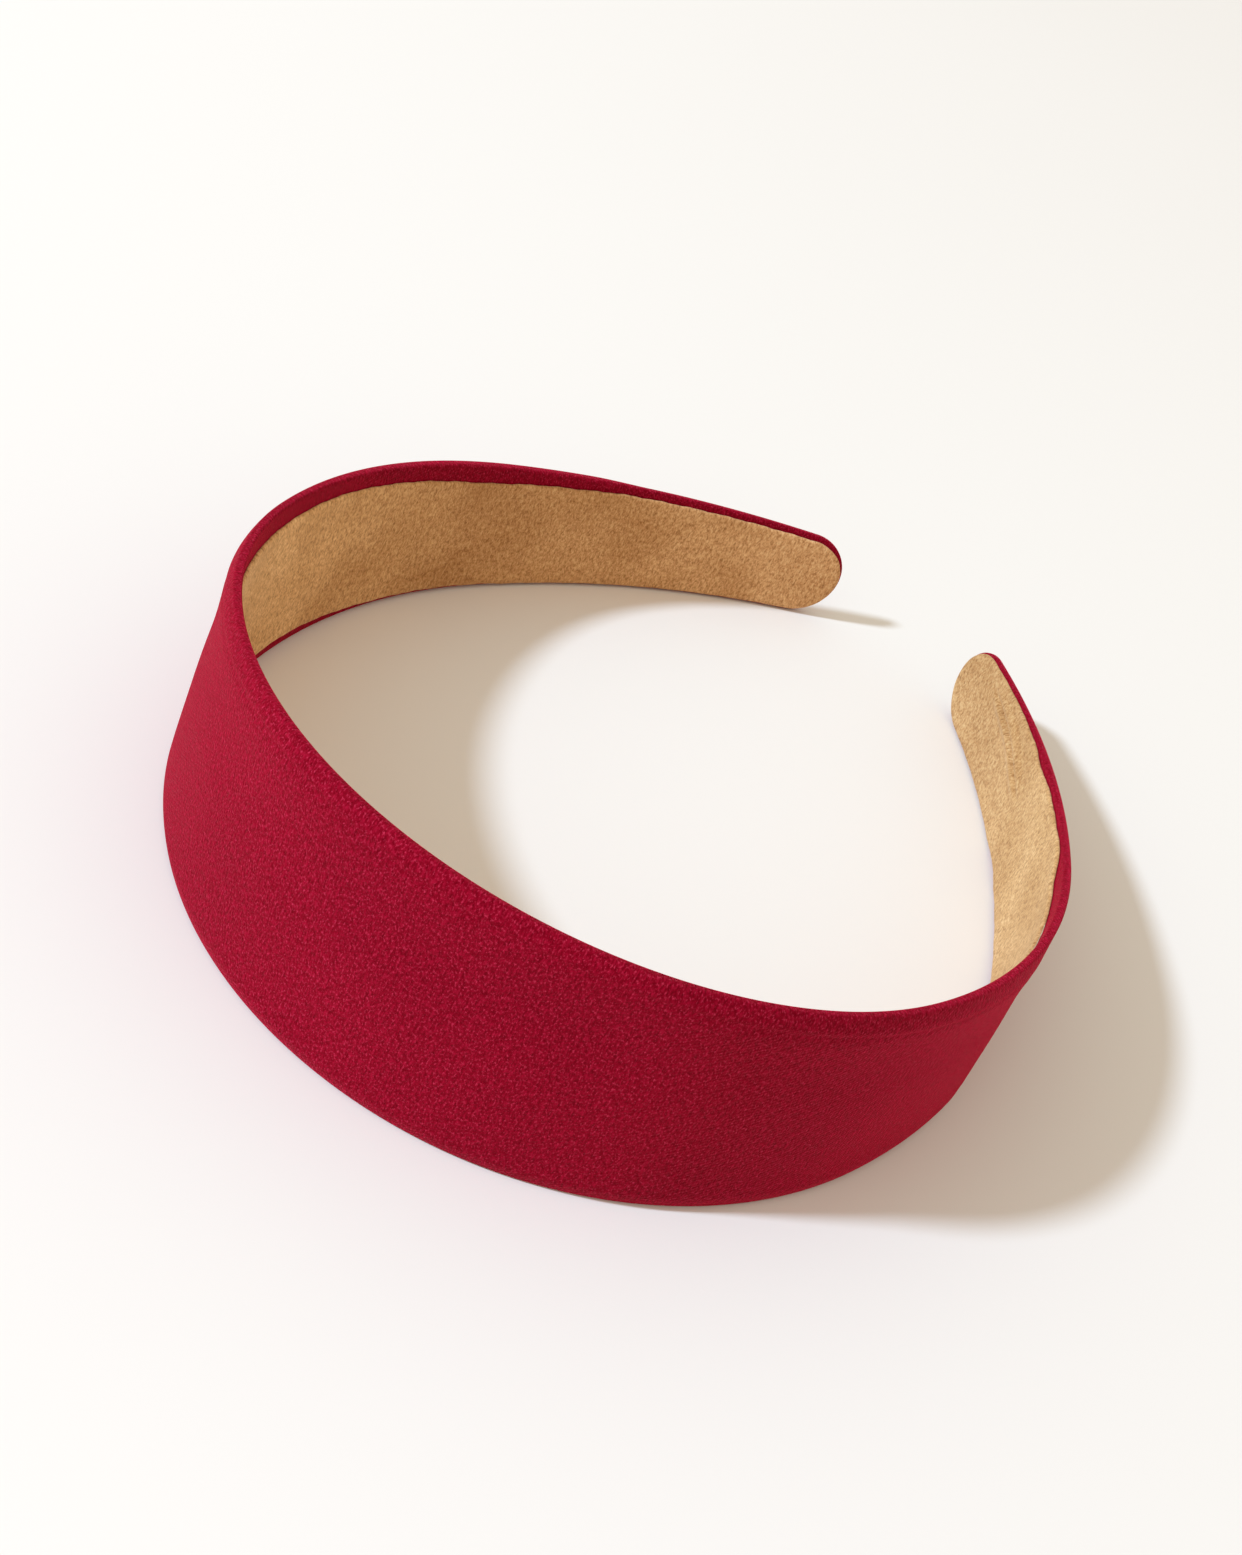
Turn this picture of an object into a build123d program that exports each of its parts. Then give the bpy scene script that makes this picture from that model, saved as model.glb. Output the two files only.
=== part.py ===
from build123d import *
import os
from math import atan, cos, degrees

# Fabric-covered C-shaped headband, lying on its lower edge.
# Millimetres. +Z up, +Y from the crown towards the two tips, X across the head.
# The origin is under the middle of the bounding box, on the surface that the band rests on.
#
# The band is drawn in its own frame first: Z along its width, the crown's inner face at the
# origin. Every layer is a wall that follows one plan curve of five tangent arcs, at its own
# offset from the lining's inner face. Two planes that close in towards the tips trim it.

# ---- plan curve, at the lining's inner face
crown_radius = 62.0
crown_length = 80.0       # arc length from the middle of the crown to the shoulder
shoulder_radius = 84.0
shoulder_length = 58.0
arm_radius = 158.0
arm_length = 71.0
tip_radius = 8.2          # from the rounded tip's centre to its end

# ---- width
crown_half_width = 20.0
edge_slope = 0.0775       # how fast the half width falls with the distance from the crown
lining_half_width = 16.6
lining_slope = 0.058
channel_half_width = 12.5  # the core's strip that the turned-in hems leave bare
channel_slope = 0.056

# ---- layers, from the head outwards
lining_thickness = 0.5
glue_thickness = 0.1
glue_inset = 2.0          # how far the glue stops short of the lining's edges
satin_thickness = 0.2
core_thickness = 1.0
foam_thickness = 0.9
gap = 0.02                # clearance that keeps neighbouring layers apart

# ---- sponge pad, which sits off centre; lengths along the band from the middle of the crown
foam_left = 155.0         # end of its full thickness on the left
foam_right = 104.0        # and on the right
foam_tail = 10.0          # length of the feathered tail past each end
foam_inset = 1.2          # how far its long edges stay inside the core's edges
foam_edge_round = 0.7
tail_slack = 1.8          # how far past the foam's tail the cloth lands on the core
tape_short = 1.0          # how far the pad's adhesive stops short of the tails' ends
tape_inset = 0.5

# ---- derived offsets
glue_in = lining_thickness + gap
hem_in = glue_in + glue_thickness + gap
core_in = hem_in + satin_thickness + gap
core_out = core_in + core_thickness
tape_in = core_out + gap
tape_out = tape_in + glue_thickness
foam_in = tape_out + gap
foam_out = foam_in + foam_thickness
satin_arm_out = core_out + gap + satin_thickness
core_half_width = crown_half_width - satin_thickness - gap
foam_half_width = core_half_width - foam_inset

crown_angle = degrees(crown_length / crown_radius)
shoulder_angle = degrees(shoulder_length / shoulder_radius)
half_length = crown_length + shoulder_length + arm_length
lean = degrees(atan(edge_slope))


def side_rail(crown, offset, length):
    """The plan curve on the right, from the crown's end to a length from the crown's middle."""
    shoulder_run = min(length - crown_length, shoulder_length)
    shoulder_turn = degrees(shoulder_run / shoulder_radius)
    shoulder = JernArc(crown @ 1, crown % 1, shoulder_radius + offset, shoulder_turn)
    arm_run = length - crown_length - shoulder_run
    if arm_run == 0:
        return [shoulder]
    arm = JernArc(shoulder @ 1, shoulder % 1, arm_radius + offset, degrees(arm_run / arm_radius))
    return [shoulder, arm]


def rail(offset, left_length=half_length, right_length=half_length):
    """The plan curve moved outwards by an offset, and its right and left ends."""
    crown = CenterArc((0, crown_radius), crown_radius + offset, -90 - crown_angle, 2 * crown_angle)
    right = side_rail(crown, offset, right_length)
    left = side_rail(crown, offset, left_length)
    left_end = left[-1] @ 1
    mirrored = [edge.mirror(Plane.YZ) for edge in left]
    return [crown] + right + mirrored, right[-1] @ 1, Vector(-left_end.X, left_end.Y, 0)


def wall_between(inner, outer):
    """Upright wall between two rails, taller than the band."""
    inner_edges, inner_right, inner_left = inner
    outer_edges, outer_right, outer_left = outer
    closing = [Line(inner_right, outer_right), Line(inner_left, outer_left)]
    profile = make_face(inner_edges + outer_edges + closing)
    return extrude(profile, crown_half_width + 2, both=True)


def wedge(half_width, slope):
    """Space between the two planes that close in towards the tips."""
    front = -10.0
    back = 170.0
    outline = Polyline(
        (front, half_width - slope * front),
        (back, half_width - slope * back),
        (back, -half_width + slope * back),
        (front, -half_width + slope * front),
        close=True,
    )
    section = make_face(Plane.YZ * outline)
    return extrude(section, 90, both=True)


def station(length):
    """Point and heading of the lining's inner face in the right arm."""
    crown = CenterArc((0, crown_radius), crown_radius, -90, crown_angle)
    shoulder = JernArc(crown @ 1, crown % 1, shoulder_radius, shoulder_angle)
    run = length - crown_length - shoulder_length
    arm = JernArc(shoulder @ 1, shoulder % 1, arm_radius, degrees(run / arm_radius))
    return arm @ 1, arm % 1


def tip_cutter(centre, heading, radius):
    """What a full round end of this radius takes off the right tip."""
    outward = Vector(heading.Y, -heading.X, 0)
    end_plane = Plane(origin=centre, x_dir=heading, z_dir=outward)
    beyond = Rectangle(30, 60, align=(Align.MIN, Align.CENTER)) - Circle(radius)
    return extrude(end_plane * beyond, 12, both=True)


def strip(inner_offset, outer_offset, half_width, slope):
    """One layer that runs the whole length of the band, with rounded tips."""
    wall = wall_between(rail(inner_offset), rail(outer_offset))
    centre, heading = station(half_length - tip_radius)
    radius = (half_width - slope * centre.Y) * cos(atan(slope))
    cutter = tip_cutter(centre, heading, radius)
    body = wedge(half_width, slope) & wall
    return body - cutter - cutter.mirror(Plane.YZ)


def pad(inner_offset, skin, run_on, edge_round):
    """The sponge pad's shape, grown by a skin, with a feathered tail at each end."""
    feather = foam_tail / foam_thickness
    tail = foam_tail + feather * (foam_in + skin - inner_offset)
    left = foam_left + run_on
    right = foam_right + run_on
    outer_offset = foam_out + skin
    half_width = foam_half_width + skin
    inner = rail(inner_offset, left + tail, right + tail)
    wall = wall_between(inner, rail(outer_offset, left, right))
    body = wedge(half_width, edge_slope) & wall
    centre = Vector(0, crown_radius, 0)
    crest = []
    for edge in body.edges().filter_by(GeomType.ELLIPSE):
        middle_point = edge @ 0.5
        reach = Vector(middle_point.X, middle_point.Y, 0) - centre
        if abs(reach.length - crown_radius - outer_offset) < 0.01 and middle_point.Y < 1:
            crest.append(edge)
    return fillet(crest, edge_round)


def tape():
    """The pad's adhesive film."""
    left = foam_left + foam_tail - tape_short
    right = foam_right + foam_tail - tape_short
    wall = wall_between(rail(tape_in, left, right), rail(tape_out, left, right))
    return wedge(foam_half_width - tape_inset, edge_slope) & wall


def glue():
    """Film behind the lining, thicker in the channel between the turned-in hems."""
    film_out = glue_in + glue_thickness
    film = strip(glue_in, film_out, lining_half_width - glue_inset, lining_slope)
    fill = strip(film_out, core_in - gap, channel_half_width - gap, channel_slope)
    return film + fill


def satin():
    """One piece of cloth round the pad, both long edges and the tips, hemmed inside."""
    outside = strip(hem_in, satin_arm_out, crown_half_width, edge_slope)
    swell = pad(core_out, gap + satin_thickness, 2 * tail_slack, foam_edge_round + satin_thickness)
    core_space = strip(core_in - gap, core_out + gap, core_half_width + gap, edge_slope)
    foam_space = pad(core_out, gap, tail_slack, foam_edge_round)
    channel = strip(hem_in - gap, core_in, channel_half_width, channel_slope)
    return outside + swell - core_space - foam_space - channel


layers = {
    "core_band": strip(core_in, core_out, core_half_width, edge_slope),
    "pad_adhesive": tape(),
    "foam_pad": pad(foam_in, 0, 0, foam_edge_round),
    "satin_cover": satin(),
    "lining_adhesive": glue(),
    "suede_lining": strip(0, lining_thickness, lining_half_width, lining_slope),
}

# Lean the band until its lower edge is level, then set it on the origin.
leaned = {name: Rot(X=-lean) * body for name, body in layers.items()}
box = leaned["satin_cover"].bounding_box()
set_down = Pos(0, -(box.min.Y + box.max.Y) / 2, -box.min.Z)

os.makedirs("parts", exist_ok=True)
for name, body in leaned.items():
    placed = set_down * body
    export_step(placed, f"parts/{name}.step")
    size = placed.bounding_box()
    print(name, len(placed.solids()), round(placed.volume, 1), size.min, size.max)
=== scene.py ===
from math import atan, cos, pi, radians, sin

import bmesh
import bpy
import numpy as np
from mathutils import Matrix, Vector


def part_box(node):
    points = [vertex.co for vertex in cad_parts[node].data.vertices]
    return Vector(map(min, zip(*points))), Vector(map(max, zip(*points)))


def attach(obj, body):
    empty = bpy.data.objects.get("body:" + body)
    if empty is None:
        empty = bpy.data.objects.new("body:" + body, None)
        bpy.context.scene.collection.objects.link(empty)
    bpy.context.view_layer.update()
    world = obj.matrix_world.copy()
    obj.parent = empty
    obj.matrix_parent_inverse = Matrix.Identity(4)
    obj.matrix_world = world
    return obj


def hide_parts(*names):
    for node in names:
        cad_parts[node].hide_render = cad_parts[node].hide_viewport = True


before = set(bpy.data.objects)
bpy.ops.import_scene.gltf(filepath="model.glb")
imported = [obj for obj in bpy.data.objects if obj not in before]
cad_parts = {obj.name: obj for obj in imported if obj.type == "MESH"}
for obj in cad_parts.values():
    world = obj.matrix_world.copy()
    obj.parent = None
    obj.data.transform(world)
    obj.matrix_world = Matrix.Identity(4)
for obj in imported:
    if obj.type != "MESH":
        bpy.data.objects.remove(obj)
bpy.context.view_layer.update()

# The band is worked out in its own measures, in millimetres: the length along it from the
# crown's middle (negative on the left), the height across it, and the offset outwards from the
# lining's inner face. place() turns those into metres in the row frame.
MM = 0.001

# ---- plan curve at the lining's inner face: five tangent arcs
CROWN_RADIUS, CROWN_LENGTH = 62.0, 80.0
SHOULDER_RADIUS, SHOULDER_LENGTH = 84.0, 58.0
ARM_RADIUS, ARM_LENGTH = 158.0, 71.0
TIP_RADIUS = 8.2
HALF_LENGTH = CROWN_LENGTH + SHOULDER_LENGTH + ARM_LENGTH
TIP_CENTRE = HALF_LENGTH - TIP_RADIUS

# ---- half widths at the crown, and how fast they fall with the distance from it
COVER_WIDTH = (20.0, 0.0775)
CHANNEL_WIDTH = (12.5, 0.056)
LINING_WIDTH = (16.6, 0.058)

# ---- layers, as thicknesses and as offsets of faces
LINING_THICKNESS = 0.5
SATIN_THICKNESS = 0.2
HEM_FACE = 0.64  # the turned-in hem's face towards the head
CORE_FACE = 1.88  # the core's outer face
ARM_FACE = 2.08  # the cloth's outer face where it lies on the core
PAD_FACE = 3.12  # and where the sponge under it is fullest
PROUD = 0.25  # how far the soft cloth stands out past the cover's long edges

# ---- where the sponge fades out, as lengths from the crown's middle
LEFT_FADE = (154.0, 166.0)
RIGHT_FADE = (103.0, 116.0)

# ---- where the padded edges turn from a slope to a full round, on the left only
LEFT_ROUNDING = (80.0, 125.0)

# ---- how the band lies: leaned until its lower edge is level
LEAN = atan(COVER_WIDTH[1])
RAISE = COVER_WIDTH[0] * cos(LEAN)
CORE_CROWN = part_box("core_band")[0].y / MM
MIDDLE = -CORE_CROWN - CORE_FACE * cos(LEAN) - COVER_WIDTH[0] * sin(LEAN)

# ---- mesh density
POINTS_ALONG, POINTS_ROUND_TIP = 520, 36
LINING_RINGS = 33
SPONGE_GRID = (260, 41)
MERGE_DISTANCE = 1e-7


# ------------------------------------------------------------------ the band's measures
def smooth(low, high, value):
    """0 at low and 1 at high, with an eased slope between; low may be the larger one."""
    t = np.clip((value - low) / (high - low), 0, 1)
    return t * t * (3 - 2 * t)


def bump(centre, width, value):
    """A soft hill, 1 at its centre."""
    return np.exp(-(((value - centre) / width) ** 2))


def plan(s):
    """Point and outward normal of the plan curve at a signed length from the crown's middle."""
    side = np.where(s < 0, -1.0, 1.0)
    length = np.abs(s)
    runs = (
        (np.minimum(length, CROWN_LENGTH), CROWN_RADIUS),
        (np.clip(length - CROWN_LENGTH, 0, SHOULDER_LENGTH), SHOULDER_RADIUS),
        (np.clip(length - CROWN_LENGTH - SHOULDER_LENGTH, 0, None), ARM_RADIUS),
    )
    x, y, turn = 0.0, 0.0, np.zeros_like(length)
    for run, radius in runs:
        end = turn + run / radius
        x = x + radius * (np.sin(end) - np.sin(turn))
        y = y + radius * (np.cos(turn) - np.cos(end))
        turn = end
    return side * x, y, side * np.sin(turn), -np.cos(turn)


def place(s, z, offset):
    """Metres in the row frame."""
    x, y, nx, ny = plan(s)
    px, py = x + nx * offset, y + ny * offset
    row_y = py * cos(LEAN) + z * sin(LEAN) - MIDDLE
    row_z = -py * sin(LEAN) + z * cos(LEAN) + RAISE
    return np.stack([px, row_y, row_z], -1) * MM


def half_width(s, offset, width):
    """Half width at a length and an offset, from its value at the crown and how fast it falls."""
    _, y, _, ny = plan(s)
    return width[0] - width[1] * (y + ny * offset)


def pad_share(s):
    """1 where the sponge has its full thickness, 0 where the cloth lies on the core."""
    return np.minimum(1 - smooth(*LEFT_FADE, -s), 1 - smooth(*RIGHT_FADE, s))


def round_share(s):
    """1 on the left arm, where the padded edges are full and round, 0 on the crown."""
    return smooth(*LEFT_ROUNDING, -s)


# ------------------------------------------------------------------ the loop round the band
def outline_loop():
    """Once round the band: the length of each point's centre and its angle from straight up."""
    run = np.linspace(-TIP_CENTRE, TIP_CENTRE, POINTS_ALONG)
    turn = np.linspace(0, pi, POINTS_ROUND_TIP + 2)[1:-1]
    tip = np.full(POINTS_ROUND_TIP, TIP_CENTRE)
    angles = [np.zeros(POINTS_ALONG), turn, np.full(POINTS_ALONG, pi), pi + turn]
    return np.concatenate([run, tip, run[::-1], -tip]), np.concatenate(angles)


LOOP, ANGLE = outline_loop()
DOWN = (1 - np.cos(ANGLE)) / 2  # 0 along the upper edge, 1 along the lower edge


def loop_points(reach):
    """Length and height of the points at a distance from the loop's centres."""
    return LOOP + reach * np.sin(ANGLE), reach * np.cos(ANGLE)


# ------------------------------------------------------------------ meshes
def mesh_piece(name, verts, faces, uvs):
    mesh = bpy.data.meshes.new(name)
    mesh.from_pydata([tuple(v) for v in verts], [], faces)
    layer = mesh.uv_layers.new(name="cloth")
    corner = np.zeros(len(mesh.loops), dtype=np.int64)
    mesh.loops.foreach_get("vertex_index", corner)
    layer.data.foreach_set("uv", np.asarray(uvs, dtype=np.float32)[corner].ravel())
    bm = bmesh.new()
    bm.from_mesh(mesh)
    bmesh.ops.remove_doubles(bm, verts=bm.verts, dist=MERGE_DISTANCE)
    bmesh.ops.dissolve_degenerate(bm, edges=bm.edges, dist=MERGE_DISTANCE)
    bmesh.ops.recalc_face_normals(bm, faces=bm.faces)
    bm.to_mesh(mesh)
    bm.free()
    mesh.polygons.foreach_set("use_smooth", [True] * len(mesh.polygons))
    piece = bpy.data.objects.new(name, mesh)
    bpy.context.scene.collection.objects.link(piece)
    return piece


def ring_uvs(rings):
    """Flat cloth coordinates, in metres, for rings that end on the band's middle line."""
    walked = [np.zeros(len(LOOP))]
    for nearer, further in zip(rings[::-1], rings[-2::-1]):
        walked.append(walked[-1] + np.linalg.norm(further - nearer, axis=1))
    uvs = []
    for distance in walked[::-1]:
        uvs.append(np.stack([LOOP * MM + distance * np.sin(ANGLE), distance * np.cos(ANGLE)], -1))
    return uvs


def skin_piece(name, outer, inner):
    """Closed sheet: two stacks of rings from the raw edge to the middle line, joined at the edge."""
    count = len(LOOP)
    stacks = inner[::-1] + outer
    faces = []
    for k in range(len(stacks) - 1):
        low, high = k * count, (k + 1) * count
        for i in range(count):
            j = (i + 1) % count
            faces.append((low + i, low + j, high + j, high + i))
    uvs = ring_uvs(inner)[::-1] + ring_uvs(outer)
    return mesh_piece(name, np.concatenate(stacks), faces, np.concatenate(uvs))


def slab_faces(rows, columns):
    """Faces of a closed slab whose top and bottom are grids of the same size."""
    faces = []
    below = rows * columns
    for i in range(rows - 1):
        for j in range(columns - 1):
            a, b = i * columns + j, (i + 1) * columns + j
            faces.append((a, b, b + 1, a + 1))
            faces.append((below + a, below + a + 1, below + b + 1, below + b))
    rim = list(range(columns))
    rim += [i * columns + columns - 1 for i in range(1, rows)]
    rim += [(rows - 1) * columns + j for j in range(columns - 2, -1, -1)]
    rim += [i * columns for i in range(rows - 2, 0, -1)]
    for a, b in zip(rim, rim[1:] + rim[:1]):
        faces.append((a, b, below + b, below + a))
    return faces


# ------------------------------------------------------------------ the satin cover
HEM_SHARES = (1.0, 0.65, 0.32)  # rings on the hem, from its raw edge outwards
WALL_SHARES = (0.25, 0.5, 0.75)
SLOPE_SHARES = (0.25, 0.5, 0.7, 0.85, 1.0)
SLOPE_CURVE = 1.4  # how round the slope is; 1 is straight

# Places across the face, as parts of the way from a long edge to the middle line.
FACE_STEPS = (0.025, 0.05, 0.075, 0.1, 0.13, 0.165, *np.linspace(0.21, 1, 14))
FACE_BLEND = 0.25
CREASE_PLACE, CREASE_WIDTH, CREASE_DEPTH = 0.04, 0.035, 0.14

# The padded face on the crown: its offset at mid-height, how much lower it is at the upper edge,
# and a dip whose place and width are parts of the half width, upwards from mid-height.
CROWN_FACE, CROWN_TILT = 2.90, 0.16
DIP_PLACE, DIP_WIDTH, DIP_DEPTH = 0.42, 0.3, 0.26


def corner_points(inset, offset, radius, start, end, count):
    """Arc in a section, from an angle to another, measured from facing the head."""
    angles = np.radians(np.linspace(start, end, count))
    return [(inset - radius * sin(a), offset - radius * cos(a)) for a in angles]


def cover_section(face, hem_corner, corner, slope_start, slope_width):
    """The cloth round a long edge, as (inset, offset): hem corner, wall, corner, slope to the face."""
    points = corner_points(hem_corner, HEM_FACE + hem_corner, hem_corner, 0, 90, 6)
    wall_start = points[-1][1]
    wall_end = slope_start - corner
    points += [(0.0, wall_start + (wall_end - wall_start) * share) for share in WALL_SHARES]
    points += corner_points(corner, wall_end, corner, 90, 150, 7)
    inset, offset = points[-1]
    for share in SLOPE_SHARES:
        risen = 1 - (1 - share) ** SLOPE_CURVE
        points.append((inset + slope_width * share, offset + (face - offset) * risen))
    return np.array(points)


ARM_SECTION = cover_section(ARM_FACE, 0.5, 0.55, ARM_FACE, 1.6)
UPPER_SECTION = cover_section(2.76, 0.45, 0.5, ARM_FACE, 2.3)
LOWER_SECTION = cover_section(3.06, 0.45, 0.7, 2.6, 2.0)
ROUND_SECTION = cover_section(PAD_FACE, 0.7, 1.1, PAD_FACE - 0.1, 1.8)


def deepened(section, depth):
    """The section moved into the band by a depth."""
    tangent = np.gradient(section, axis=0)
    tangent /= np.linalg.norm(tangent, axis=1, keepdims=True)
    return section + depth * np.stack([tangent[:, 1], -tangent[:, 0]], 1)


def blended(a, b, share):
    """A point of one section moved towards a point of another."""
    return [a[k] + (b[k] - a[k]) * share for k in (0, 1)]


def unevenness(s, z):
    """Slow swells of the face, about a tenth of a millimetre, and a quarter of that off the pad."""
    swell = np.sin(s * 0.083 + z * 0.11 + 0.7) + 0.8 * np.sin(s * 0.151 - z * 0.17 + 2.1)
    slow = 0.05 * swell + 0.03 * np.sin(s * 0.31 + 1.3 * np.sin(z * 0.2))
    return slow * (0.25 + 0.75 * pad_share(s))


def face_offset(s, z):
    """The outer face's offset: on the crown, fuller towards the lower edge."""
    part = z / half_width(s, ARM_FACE, COVER_WIDTH)
    crown = CROWN_FACE - CROWN_TILT * part - DIP_DEPTH * bump(DIP_PLACE, DIP_WIDTH, part)
    padded = crown + (PAD_FACE - crown) * round_share(s)
    return ARM_FACE + (padded - ARM_FACE) * pad_share(s)


def cover_rings(depth):
    """Rings from the hem's raw edge, round the long edges, to the middle of the outer face."""
    padding = pad_share(LOOP)
    roundness = round_share(LOOP)
    hem = half_width(LOOP, HEM_FACE, COVER_WIDTH) - half_width(LOOP, HEM_FACE, CHANNEL_WIDTH)
    path = [(hem * share, HEM_FACE + depth) for share in HEM_SHARES]
    sections = (ARM_SECTION, UPPER_SECTION, LOWER_SECTION, ROUND_SECTION)
    for arm, upper, lower, full in zip(*[deepened(section, depth) for section in sections]):
        crown = blended(upper, lower, DOWN)
        path.append(blended(arm, blended(crown, full, roundness), padding))
    rings = []
    for inset, offset in path:
        reach = half_width(LOOP, offset, COVER_WIDTH) + PROUD - inset
        rings.append(place(*loop_points(reach), offset))
    for step in FACE_STEPS:
        s, z = loop_points(reach * (1 - step))
        face = face_offset(s, z) + unevenness(s, z) - depth
        crease = CREASE_DEPTH * padding * (1 - DOWN) * bump(CREASE_PLACE, CREASE_WIDTH, step)
        rings.append(place(s, z, offset + (face - offset) * smooth(0, FACE_BLEND, step) - crease))
    return rings


def satin_cover():
    return skin_piece("satin_cover_cloth", cover_rings(0.0), cover_rings(SATIN_THICKNESS))


# ------------------------------------------------------------------ the suede lining
# Where the hand-glued lining's edges leave their even outline, in millimetres outwards: lasting
# changes between two lengths, as (start, end, change), and local ones, as (length, width, height).
UPPER_CHANGES = (
    (-35, -65, -0.8), (-150, -162, 0.45),
    (60, 105, -1.5), (134, 143, 1.85), (170, 190, 0.5),
)
LOWER_CHANGES = ((-90, -118, 0.95), (-138, -150, 0.2), (130, 145, 0.6))
UPPER_STRAYS = (
    (-66, 13, -0.4), (-97, 14, 0.4), (-132, 10, -0.6),
    (118, 12, -0.6), (143, 4, 0.35), (168, 4, -0.6), (181, 3, -0.25),
)
LOWER_STRAYS = ((-60, 20, 0.2), (164, 4, -0.5))

# How far the lining stays inside the cover's edge at least, and how much more along the bottom.
EDGE_MARGIN, LOWER_MARGIN = 0.12, 0.12

# The lining's section from its cut edge, as (inset, offset): rolled over in front, flat behind.
LINING_BACK = LINING_THICKNESS + 0.02
FRONT_EDGE = ((0.0, 0.46), (0.02, 0.34), (0.08, 0.2), (0.2, 0.09), (0.42, 0.02), (0.8, 0.0))
BACK_EDGE = ((0.03, 0.58), (0.5, 0.55), (1.2, LINING_BACK))
EDGE_BLEND = 0.2

# The wrinkle: its ends as (length, height), where it rises and fades as measured from them, its
# bow to one side, and in cross-section its ridges, as (place, width, height), and its groove.
WRINKLE_START, WRINKLE_END = (194.0, 5.4), (171.0, 1.2)
WRINKLE_RISE, WRINKLE_FADE = (-3.0, 5.0), (-6.0, 3.0)
WRINKLE_BOW = 0.8
WRINKLE_RIDGES = ((-0.9, 0.9, 0.60), (1.1, 1.2, 0.54))
GROOVE_WIDTH, GROOVE_DEPTH = 0.36, 0.92


def edge_course(changes, strays):
    """How far an edge of the lining lies outside its even outline, at each point of the loop."""
    course = np.zeros(len(LOOP))
    for start, end, change in changes:
        course += change * smooth(start, end, LOOP)
    for length, width, height in strays:
        course += height * bump(length, width, LOOP)
    return course


def lining_reach():
    """Distance from the loop's centres to the lining's cut edge."""
    upper = edge_course(UPPER_CHANGES, UPPER_STRAYS)
    lower = edge_course(LOWER_CHANGES, LOWER_STRAYS)
    wave = 0.06 * np.sin(LOOP * 0.9 + 2 * np.cos(ANGLE)) + 0.04 * np.sin(LOOP * 2.3 + ANGLE * 9)
    reach = half_width(LOOP, 0.0, LINING_WIDTH) + upper * (1 - DOWN) + lower * DOWN + wave
    margin = EDGE_MARGIN + LOWER_MARGIN * DOWN - 0.5 * wave
    return np.minimum(reach, half_width(LOOP, HEM_FACE, COVER_WIDTH) - margin)


def wrinkle(s, z):
    """A soft fold in the lining of the right arm, as a height towards the head."""
    start, end = np.array(WRINKLE_START), np.array(WRINKLE_END)
    run = end - start
    length = np.hypot(*run)
    along = ((s - start[0]) * run[0] + (z - start[1]) * run[1]) / length
    bow = WRINKLE_BOW * np.sin(np.clip(along / length, 0, 1) * pi)
    across = ((s - start[0]) * run[1] - (z - start[1]) * run[0]) / length - bow
    height = -GROOVE_DEPTH * bump(0, GROOVE_WIDTH, across)
    for centre, width, ridge in WRINKLE_RIDGES:
        height = height + ridge * bump(centre, width, across)
    return height * smooth(*WRINKLE_RISE, along) * (1 - smooth(*WRINKLE_FADE, along - length))


def lining_face(s, z):
    """Offset of the lining's inner face; below zero is towards the head."""
    quilted = 0.05 * np.sin(s * 0.27 + z * 0.31) + 0.04 * np.sin(s * 0.12 - z * 0.52 + 1.0)
    return quilted - wrinkle(s, z)


def lining_rings(edge, relief):
    """Rings from the cut edge to the middle line, with a share of the inner face's relief."""
    cut = lining_reach()
    rings = [place(*loop_points(cut - inset), offset) for inset, offset in edge]
    inset, offset = edge[-1]
    for step in np.linspace(0, 1, LINING_RINGS)[1:]:
        s, z = loop_points((cut - inset) * (1 - step))
        rings.append(place(s, z, offset + relief * smooth(0, EDGE_BLEND, step) * lining_face(s, z)))
    return rings


def suede_lining():
    return skin_piece("suede_lining_cloth", lining_rings(FRONT_EDGE, 1.0), lining_rings(BACK_EDGE, 0.0))


# ------------------------------------------------------------------ the sponge pad
SPONGE_ENDS = (-161.0, 110.5)
SPONGE_BACK = 2.0
SPONGE_INSET = 1.0  # how far its long edges stay inside the cover's
SPONGE_BEVEL = 2.6  # width of its sloped long edges
SPONGE_CLEARANCE = 0.14  # room left under the cloth
SPONGE_LEAST = 0.02
PORE_DEPTH = 0.02


def foam_pad():
    """Strip of sponge with sloped long edges and feathered ends, under the cloth."""
    rows, columns = SPONGE_GRID
    along = np.linspace(*SPONGE_ENDS, rows)
    s, part = np.meshgrid(along, np.linspace(-1, 1, columns), indexing="ij")
    width = half_width(s, SPONGE_BACK, COVER_WIDTH) - SPONGE_INSET
    z = part * width
    bevel = smooth(0, SPONGE_BEVEL, width - np.abs(z))
    room = face_offset(s, z) - SATIN_THICKNESS - SPONGE_CLEARANCE - SPONGE_BACK
    pores = PORE_DEPTH * np.sin(s * 5.1) * np.sin(z * 4.7) * pad_share(s)
    rise = SPONGE_LEAST + (np.clip(room, SPONGE_LEAST, None) + pores) * bevel
    top = place(s, z, SPONGE_BACK + rise).reshape(-1, 3)
    bottom = place(s, z, SPONGE_BACK).reshape(-1, 3)
    flat = np.stack([s.ravel(), z.ravel()], -1) * MM
    verts = np.concatenate([top, bottom])
    return mesh_piece("foam_pad_sponge", verts, slab_faces(rows, columns), np.concatenate([flat, flat]))


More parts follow.
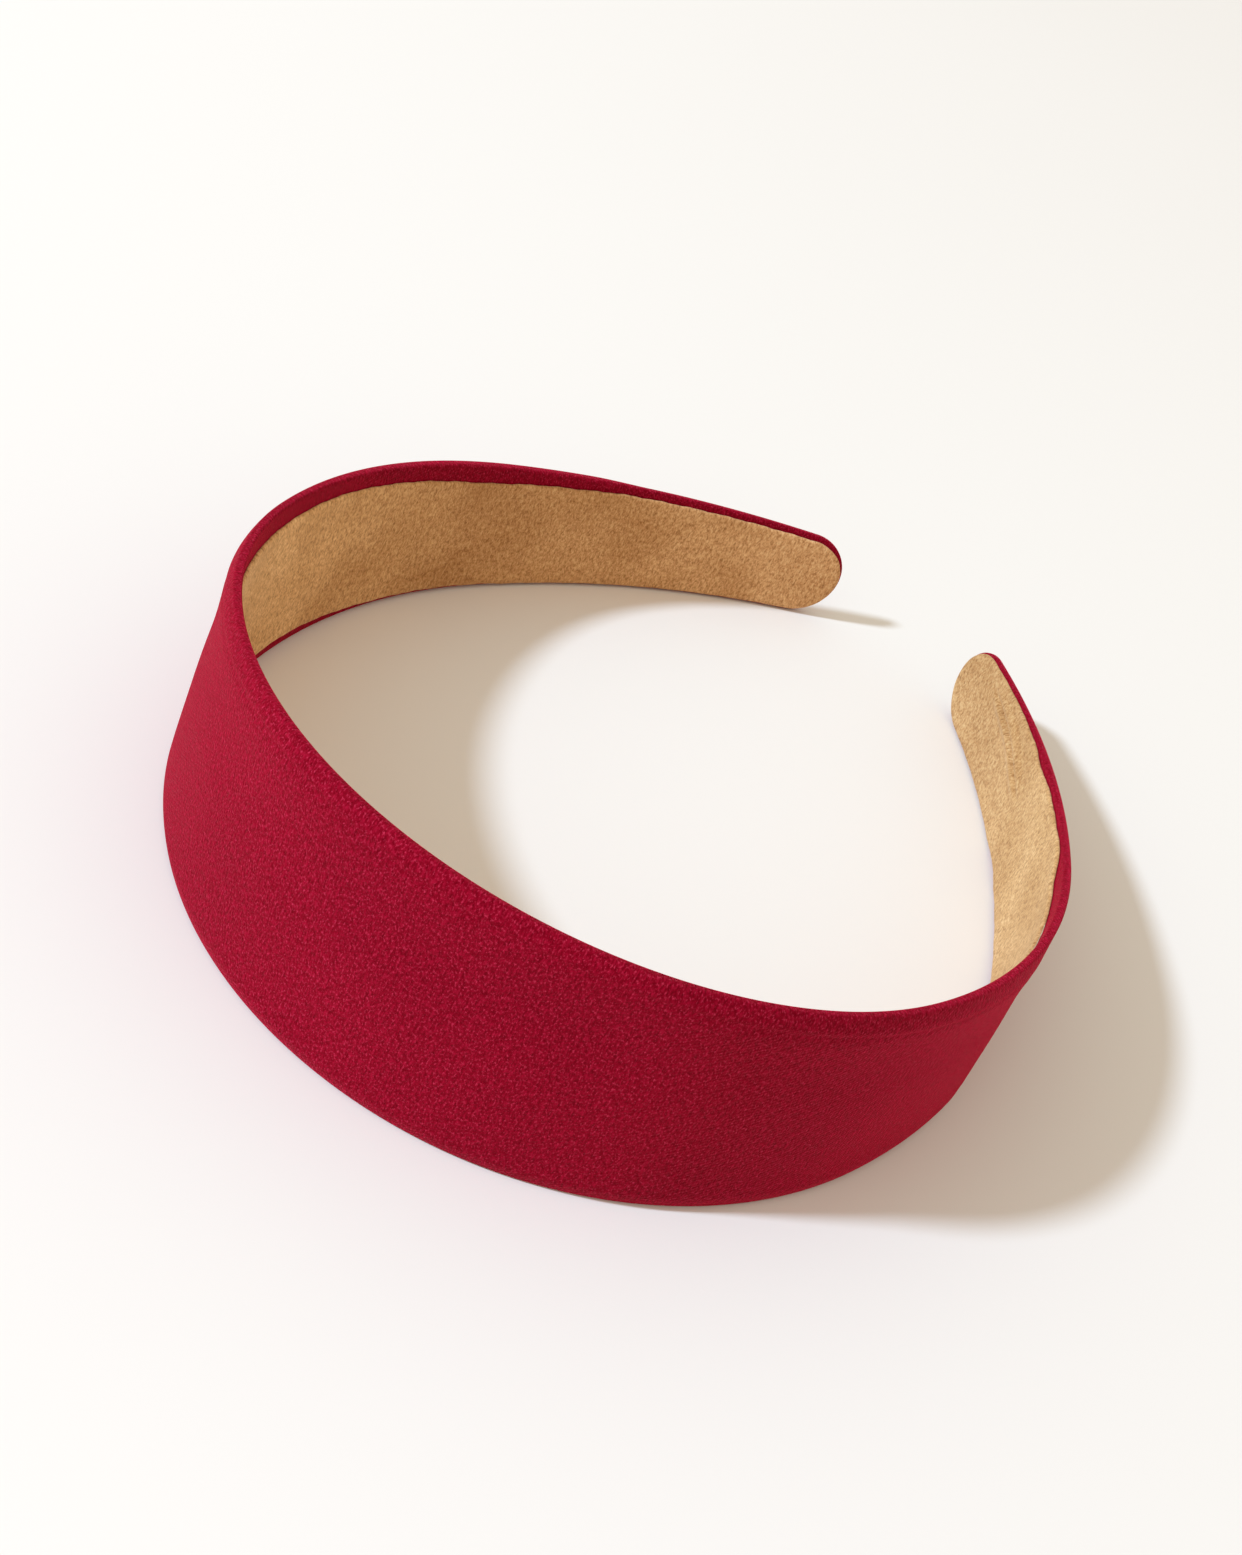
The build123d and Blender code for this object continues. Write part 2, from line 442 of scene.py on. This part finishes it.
# ------------------------------------------------------------------ materials
class Shader:
    """A principled material with short calls for adding nodes."""

    def __init__(self, name):
        self.material = bpy.data.materials.new(name)
        self.material.use_nodes = True
        self.nodes = self.material.node_tree.nodes
        self.main = self.nodes["Principled BSDF"]

    def node(self, kind, inputs=(), **settings):
        made = self.nodes.new(kind)
        for key, value in settings.items():
            setattr(made, key, value)
        for key, value in dict(inputs).items():
            self.feed(made.inputs[key], value)
        return made

    def feed(self, socket, value):
        if isinstance(value, bpy.types.NodeSocket):
            self.material.node_tree.links.new(value, socket)
        else:
            socket.default_value = value

    def set(self, **values):
        """Feed the principled shader's own sockets; an underscore stands for a space."""
        for key, value in values.items():
            self.feed(self.main.inputs[key.replace("_", " ")], value)

    def cloth_coordinates(self, scale=(1, 1, 1), turn=0.0):
        """Flat coordinates of the cloth, in millimetres."""
        uv = self.node("ShaderNodeUVMap", uv_map="cloth")
        inputs = {"Vector": uv.outputs[0], "Scale": [k / MM for k in scale], "Rotation": (0, 0, turn)}
        return self.node("ShaderNodeMapping", inputs).outputs[0]

    def own_coordinates(self, scale=(1, 1, 1)):
        """Coordinates in the object's own space, in millimetres, for pieces with no cloth map."""
        own = self.node("ShaderNodeTexCoord").outputs["Object"]
        inputs = {"Vector": own, "Scale": [k / MM for k in scale]}
        return self.node("ShaderNodeMapping", inputs).outputs[0]

    def along_band(self):
        """0 at the left tip, 1 at the right tip."""
        flat = self.node("ShaderNodeSeparateXYZ", {"Vector": self.cloth_coordinates()})
        return self.span(flat.outputs["X"], -HALF_LENGTH, HALF_LENGTH, 0.0, 1.0)

    def noise(self, vector, scale, detail=2.0, roughness=0.5):
        inputs = {"Vector": vector, "Scale": scale, "Detail": detail, "Roughness": roughness}
        return self.node("ShaderNodeTexNoise", inputs).outputs["Fac"]

    def wave(self, vector, scale, distortion):
        inputs = {"Vector": vector, "Scale": scale, "Distortion": distortion}
        return self.node("ShaderNodeTexWave", inputs, bands_direction="X").outputs["Fac"]

    def ramp(self, fac, stops):
        """Colours at positions, as (position, linear colour)."""
        made = self.node("ShaderNodeValToRGB", {"Fac": fac})
        elements = made.color_ramp.elements
        while len(elements) < len(stops):
            elements.new(0.5)
        for element, (position, colour) in zip(elements, stops):
            element.position = position
            element.color = (*colour, 1)
        return made.outputs["Color"]

    def span(self, value, low, high, start, end):
        """A value between low and high, stretched to lie between start and end."""
        inputs = {"Value": value, "From Min": low, "From Max": high, "To Min": start, "To Max": end}
        return self.node("ShaderNodeMapRange", inputs).outputs[0]

    def mix(self, fac, a, b, blend="MIX"):
        made = self.node("ShaderNodeMix", data_type="RGBA", blend_type=blend)
        self.feed(made.inputs[0], fac)
        self.feed(made.inputs[6], a)
        self.feed(made.inputs[7], b)
        return made.outputs[2]

    def multiply(self, a, b):
        return self.mix(1.0, a, b, "MULTIPLY")

    def weighted(self, value, weight, rest=0.0):
        """A value times a weight, plus the rest."""
        made = self.node("ShaderNodeMath", operation="MULTIPLY_ADD")
        self.feed(made.inputs[0], value)
        self.feed(made.inputs[1], weight)
        self.feed(made.inputs[2], rest)
        return made.outputs[0]

    def bump(self, height, strength, distance):
        inputs = {"Height": height, "Strength": strength, "Distance": distance}
        return self.node("ShaderNodeBump", inputs).outputs[0]


# Threads and fibres, from the darkest to the lightest.
SATIN_TONES = (
    (0.36, (0.160, 0.0010, 0.007)),
    (0.50, (0.232, 0.0020, 0.0125)),
    (0.62, (0.34, 0.005, 0.026)),
)
# Colour of the painted glints: pale pink speckles in the base colour that stand in for the threads'
# highlights.
SATIN_PAINTED_GLINT = (0.50, 0.028, 0.07, 1)
SUEDE_TONES = (
    (0.37, (0.46, 0.225, 0.075)),
    (0.5, (0.80, 0.455, 0.187)),
    (0.62, (1.0, 0.68, 0.325)),
)

# Painted light and shade on the suede along the band, from the left tip to the right tip. It is tuned
# at patches to the light and dark of the photographed lining, and is not known wear.
SUEDE_PAINTED_SHADE = (
    (0.05, (0.82, 0.77, 0.78)),
    (0.19, (0.70, 0.62, 0.56)),
    (0.30, (1.0, 1.0, 0.97)),
    (0.50, (0.85, 0.83, 0.80)),
    (0.86, (0.78, 0.82, 0.84)),
    (0.95, (0.68, 0.69, 0.70)),
)


def satin_material():
    """Crimson satin: floats across the band, a fine twill line, painted glints on the threads, soft
    gloss.
    """
    satin = Shader("satin")
    threads = satin.noise(satin.cloth_coordinates((1, 0.3, 1)), 3.4, 2.0, 0.6)
    grain = satin.noise(satin.cloth_coordinates((1, 0.55, 1)), 1.9, 3.0, 0.65)
    twill = satin.wave(satin.cloth_coordinates(turn=radians(62)), 0.62, 0.4)
    patches = satin.noise(satin.cloth_coordinates(), 0.035)
    painted_sparkle = satin.noise(satin.cloth_coordinates((1, 0.6, 1), radians(8)), 3.6, 2.0, 0.6)
    tone = satin.weighted(grain, 0.6, satin.weighted(threads, 0.4))
    # Painted glints: speckles mixed into the base colour where the sparkle noise is high.
    painted_glints = satin.span(painted_sparkle, 0.54, 0.72, 0.0, 1.0)
    colour = satin.mix(painted_glints, satin.ramp(tone, SATIN_TONES), SATIN_PAINTED_GLINT)
    shade = satin.ramp(patches, ((0.35, (0.90, 0.90, 0.90)), (0.65, (1.0, 1.0, 1.0))))
    satin.set(
        Base_Color=satin.multiply(colour, shade),
        Roughness=satin.span(grain, 0.3, 0.7, 0.46, 0.62),
        Normal=satin.bump(satin.weighted(twill, 0.07, tone), 0.9, 0.0004),
        IOR=1.45,
        Anisotropic=0.4,
        Specular_IOR_Level=0.03,
        Specular_Tint=(1.0, 0.12, 0.22, 1),
        Sheen_Weight=0.8,
        Sheen_Roughness=0.35,
        Sheen_Tint=(1.0, 0.025, 0.09, 1),
    )
    return satin.material


def suede_material():
    """Tan microfibre suede: short brushed nap in upright streaks, mottled by rubbed patches, with
    painted light and shade along the band.
    """
    suede = Shader("suede")
    streaks = suede.noise(suede.cloth_coordinates((1, 0.42, 1), radians(6)), 1.7, 3.0, 0.6)
    fibres = suede.noise(suede.cloth_coordinates((1, 0.5, 1)), 3.6, 2.0, 0.6)
    rubbed = suede.noise(suede.cloth_coordinates(), 0.075, 3.0, 0.55)
    nap = suede.weighted(streaks, 0.5, suede.weighted(fibres, 0.5))
    shade = suede.ramp(rubbed, ((0.36, (0.84, 0.78, 0.70)), (0.60, (1.0, 1.0, 1.0))))
    colour = suede.multiply(suede.ramp(nap, SUEDE_TONES), shade)
    # The base colour is multiplied by painted light and shade along the band.
    suede.set(
        Base_Color=suede.multiply(colour, suede.ramp(suede.along_band(), SUEDE_PAINTED_SHADE)),
        Roughness=suede.span(nap, 0.3, 0.7, 0.98, 0.86),
        Normal=suede.bump(nap, 0.7, 0.0003),
        Specular_IOR_Level=0.15,
        Sheen_Weight=0.3,
        Sheen_Roughness=0.5,
        Sheen_Tint=(1.0, 0.82, 0.6, 1),
    )
    return suede.material


def sponge_material():
    """Off-white open-cell sponge: pores as pits darkened with painted shade."""
    sponge = Shader("sponge")
    flat = sponge.cloth_coordinates()
    cells = sponge.node("ShaderNodeTexVoronoi", {"Vector": flat, "Scale": 1.6}).outputs["Distance"]
    clouds = sponge.noise(flat, 0.2, 3.0, 0.6)
    # Painted shade in the pores: darker and yellower near the middle of each cell.
    pores = sponge.ramp(cells, ((0.05, (0.45, 0.41, 0.33)), (0.35, (0.84, 0.81, 0.73))))
    shade = sponge.ramp(clouds, ((0.3, (0.9, 0.88, 0.84)), (0.7, (1.0, 1.0, 1.0))))
    sponge.set(
        Base_Color=sponge.multiply(pores, shade),
        Roughness=sponge.span(clouds, 0.3, 0.7, 0.88, 0.98),
        Normal=sponge.bump(cells, 0.6, 0.0003),
    )
    return sponge.material


def core_material():
    """Black moulded strip: faint flow streaks and scuffs."""
    core = Shader("core_plastic")
    flow = core.noise(core.own_coordinates((0.15, 0.15, 1.2)), 1.0, 3.0, 0.6)
    speckle = core.noise(core.own_coordinates(), 2.5)
    core.set(
        Base_Color=core.ramp(flow, ((0.3, (0.018, 0.018, 0.019)), (0.7, (0.038, 0.037, 0.036)))),
        Roughness=core.span(speckle, 0.3, 0.7, 0.38, 0.58),
        Normal=core.bump(speckle, 0.25, 0.0001),
    )
    return core.material


def glue_material():
    """Contact glue: yellowed, uneven, slightly glossy."""
    glue = Shader("adhesive")
    strings = glue.noise(glue.own_coordinates((1, 1, 0.4)), 0.6, 4.0, 0.65)
    glue.set(
        Base_Color=glue.ramp(strings, ((0.3, (0.55, 0.47, 0.28)), (0.7, (0.78, 0.72, 0.52)))),
        Roughness=glue.span(strings, 0.3, 0.7, 0.22, 0.5),
        Normal=glue.bump(strings, 0.5, 0.0002),
        Subsurface_Weight=0.15,
        Subsurface_Scale=0.001,
    )
    return glue.material


# ------------------------------------------------------------------ the band
def finish_piece(piece, material, node):
    piece.data.materials.append(material)
    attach(piece, "root")
    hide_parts(node)


def repaint(node, material):
    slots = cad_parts[node].data.materials
    slots.clear()
    slots.append(material)


def band():
    cover = satin_cover()
    finish_piece(cover, satin_material(), "satin_cover")
    lining = suede_lining()
    finish_piece(lining, suede_material(), "suede_lining")
    foam = foam_pad()
    finish_piece(foam, sponge_material(), "foam_pad")
    repaint("core_band", core_material())
    glue = glue_material()
    repaint("pad_adhesive", glue)
    repaint("lining_adhesive", glue)


# ------------------------------------------------------------------ floor, light, camera
FLOOR_SIZE = 8
FLOOR_TONES = ((0.3, (0.86, 0.832, 0.778)), (0.7, (0.88, 0.852, 0.802)))
KEY_AZIMUTH, KEY_ELEVATION = 226.0, 38.0
KEY_DISTANCE, KEY_SIZE, KEY_POWER = 4.0, 0.375, 160.0
KEY_COLOUR = (0.66, 0.80, 1.0)
AMBIENT_COLOUR, AMBIENT_STRENGTH = (1.0, 0.90, 0.77, 1), 0.73
CAMERA_PLACE = (0.0924, -0.2446, 0.2074)
CAMERA_AZIMUTH, CAMERA_ELEVATION, CAMERA_ROLL = 22.055, 37.564, 23.445
CAMERA_LENS, CAMERA_SENSOR = 47.95, 36
CAMERA_CLIP = 0.01


def floor():
    bpy.ops.mesh.primitive_plane_add(size=FLOOR_SIZE, location=(0, 0, -PROUD * MM))
    made = bpy.context.object
    made.name = "floor"
    paper = Shader("floor_paper")
    tone = paper.noise(paper.node("ShaderNodeTexCoord").outputs["Object"], 1.5)
    paper.set(Base_Color=paper.ramp(tone, FLOOR_TONES), Roughness=0.75, Specular_IOR_Level=0.1)
    made.data.materials.append(paper.material)


def key_light():
    """Round lamp that faces the band; azimuth 0 is at +X and 90 at +Y."""
    data = bpy.data.lights.new("key", "AREA")
    data.shape = "DISK"
    data.size = KEY_SIZE
    data.energy = KEY_POWER
    data.color = KEY_COLOUR
    made = bpy.data.objects.new("key", data)
    bpy.context.scene.collection.objects.link(made)
    azimuth, elevation = radians(KEY_AZIMUTH), radians(KEY_ELEVATION)
    away = Vector((cos(azimuth) * cos(elevation), sin(azimuth) * cos(elevation), sin(elevation)))
    made.location = away * KEY_DISTANCE
    made.rotation_euler = away.to_track_quat("Z", "Y").to_euler()


def ambient_light():
    world = bpy.data.worlds.new("studio")
    bpy.context.scene.world = world
    world.use_nodes = True
    background = world.node_tree.nodes["Background"]
    background.inputs["Color"].default_value = AMBIENT_COLOUR
    background.inputs["Strength"].default_value = AMBIENT_STRENGTH


def camera():
    """Azimuth 0 looks along +Y and grows towards -X; elevation is how far it looks down."""
    data = bpy.data.cameras.new("camera")
    data.lens = CAMERA_LENS
    data.sensor_width = CAMERA_SENSOR
    data.clip_start = CAMERA_CLIP
    made = bpy.data.objects.new("camera", data)
    bpy.context.scene.collection.objects.link(made)
    azimuth, elevation = radians(CAMERA_AZIMUTH), radians(CAMERA_ELEVATION)
    look = Vector((-sin(azimuth) * cos(elevation), cos(azimuth) * cos(elevation), -sin(elevation)))
    roll = Matrix.Rotation(radians(CAMERA_ROLL), 3, "Z").to_quaternion()
    made.rotation_euler = (look.to_track_quat("-Z", "Y") @ roll).to_euler()
    made.location = CAMERA_PLACE
    bpy.context.scene.camera = made


band()
floor()
key_light()
ambient_light()
camera()
bpy.context.scene.view_settings.view_transform = "Standard"
